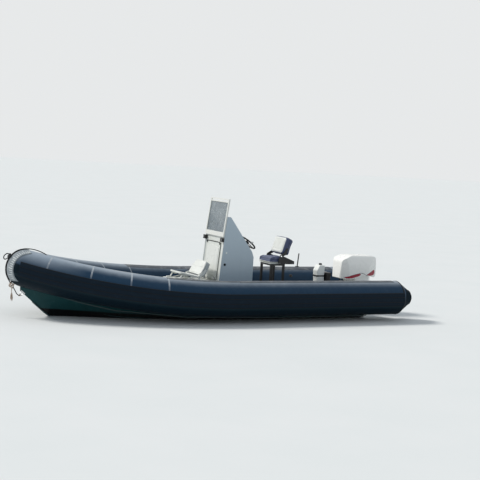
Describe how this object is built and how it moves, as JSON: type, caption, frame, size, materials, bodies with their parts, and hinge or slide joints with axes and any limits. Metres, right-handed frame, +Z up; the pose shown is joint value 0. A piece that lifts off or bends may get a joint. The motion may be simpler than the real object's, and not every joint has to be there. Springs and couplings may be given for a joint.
{
  "type": "rigid inflatable boat with outboard motor",
  "caption": "6.8 m rigid inflatable boat: blue tube collar, V hull, centre console with windscreen, helm seat, forward seat, bow rope and white outboard motor.",
  "frame": {"origin": "waterline on the centreline at the outer face of the transom", "axes": "+X towards the bow, +Y to port, +Z up"},
  "size_m": [6.8573, 2.5942, 2.5464],
  "materials": {
    "tube_fabric": "matte",
    "strake_rubber": "matte",
    "tread_rubber": "matte",
    "gelcoat": "gloss",
    "hull_gelcoat": "gloss",
    "deck_gelcoat": "matte",
    "screen_frame": "satin",
    "acrylic": "gloss",
    "black_plastic": "matte",
    "black_metal": "satin",
    "stainless": "satin",
    "vinyl_blue": "satin",
    "vinyl_white": "satin",
    "tank_plastic": "satin",
    "motor_paint": "gloss",
    "engine_iron": "matte",
    "propeller_metal": "satin",
    "rope_fibre": "matte"
  },
  "bodies": {
    "boat": {"collar_port": "tube_fabric", "collar_starboard": "tube_fabric", "strake_port": "strake_rubber", "strake_starboard": "strake_rubber", "tread_port": "tread_rubber", "tread_starboard": "tread_rubber", "nose_guard": "tread_rubber", "hull": "hull_gelcoat", "transom": "gelcoat", "cockpit_sole": "deck_gelcoat", "foredeck": "deck_gelcoat", "console_side_port": "gelcoat", "console_side_starboard": "gelcoat", "console_front": "gelcoat", "console_hatch": "gelcoat", "console_dash": "gelcoat", "console_back": "gelcoat", "shoulder_lamps": "black_plastic", "windscreen_frame": "screen_frame", "windscreen_pane": "acrylic", "steering_hub": "black_metal", "throttle_box": "black_plastic", "throttle_lever": "stainless", "helm_seat_frame": "black_metal", "helm_seat_base": "gelcoat", "helm_seat_cushion": "vinyl_blue", "helm_seat_hinge": "black_metal", "seat_locker": "gelcoat", "forward_seat_pan": "gelcoat", "forward_seat_cheeks": "stainless", "forward_seat_pin": "stainless", "forward_seat_prop": "stainless", "oil_tank": "tank_plastic", "battery_box": "black_plastic", "oil_tank_cap": "black_plastic", "stern_light_pole": "black_metal", "clamp_bracket": "black_metal", "bow_eye": "stainless", "foredeck_cleat": "stainless", "bow_rope": "rope_fibre", "rope_to_eye": "rope_fibre", "rope_tail": "rope_fibre", "rope_knot": "rope_fibre", "rope_hitch": "rope_fibre"},
    "outboard_swivel": {"swivel_bracket": "black_metal"},
    "outboard": {"motor_leg": "black_metal", "motor_cowl": "motor_paint", "motor_apron": "motor_paint", "engine_block": "engine_iron"},
    "propeller": {"propeller": "propeller_metal"},
    "steering_wheel": {"steering_wheel": "black_plastic"},
    "helm_seat_back": {"helm_back_shell": "vinyl_blue", "helm_back_pad": "vinyl_white", "helm_back_bracket": "black_metal"},
    "forward_seat_back": {"forward_seat_back": "vinyl_white", "forward_seat_arms": "stainless"}
  },
  "joints": [
    {"name": "outboard_tilt", "type": "hinge", "parent": "boat", "child": "outboard_swivel", "pos_m": [-0.04, 0, 0.5], "axis": [0, 1, 0], "range_deg": [-4, 64]},
    {"name": "outboard_steer", "type": "hinge", "parent": "outboard_swivel", "child": "outboard", "pos_m": [-0.11, 0, 0.3385], "axis": [0, 0, 1], "range_deg": [-30, 30]},
    {"name": "propeller_spin", "type": "hinge", "parent": "outboard", "child": "propeller", "pos_m": [-0.47, 0, -0.405], "axis": [1, 0, 0], "continuous": true},
    {"name": "steering_wheel_turn", "type": "hinge", "parent": "boat", "child": "steering_wheel", "pos_m": [1.975, 0, 1.195], "axis": [-0.6157, 0, 0.788], "range_deg": [-540, 540]},
    {"name": "helm_back_fold", "type": "hinge", "parent": "boat", "child": "helm_seat_back", "pos_m": [1.425, 0, 0.985], "axis": [0, 1, 0], "range_deg": [0, 108]},
    {"name": "forward_back_fold", "type": "hinge", "parent": "boat", "child": "forward_seat_back", "pos_m": [2.95, 0, 0.65], "axis": [0, 1, 0], "range_deg": [0, 105]}
  ],
  "couplings": [
    {"joint": "steering_wheel_turn", "follows": "outboard_steer", "ratio": -18}
  ]
}
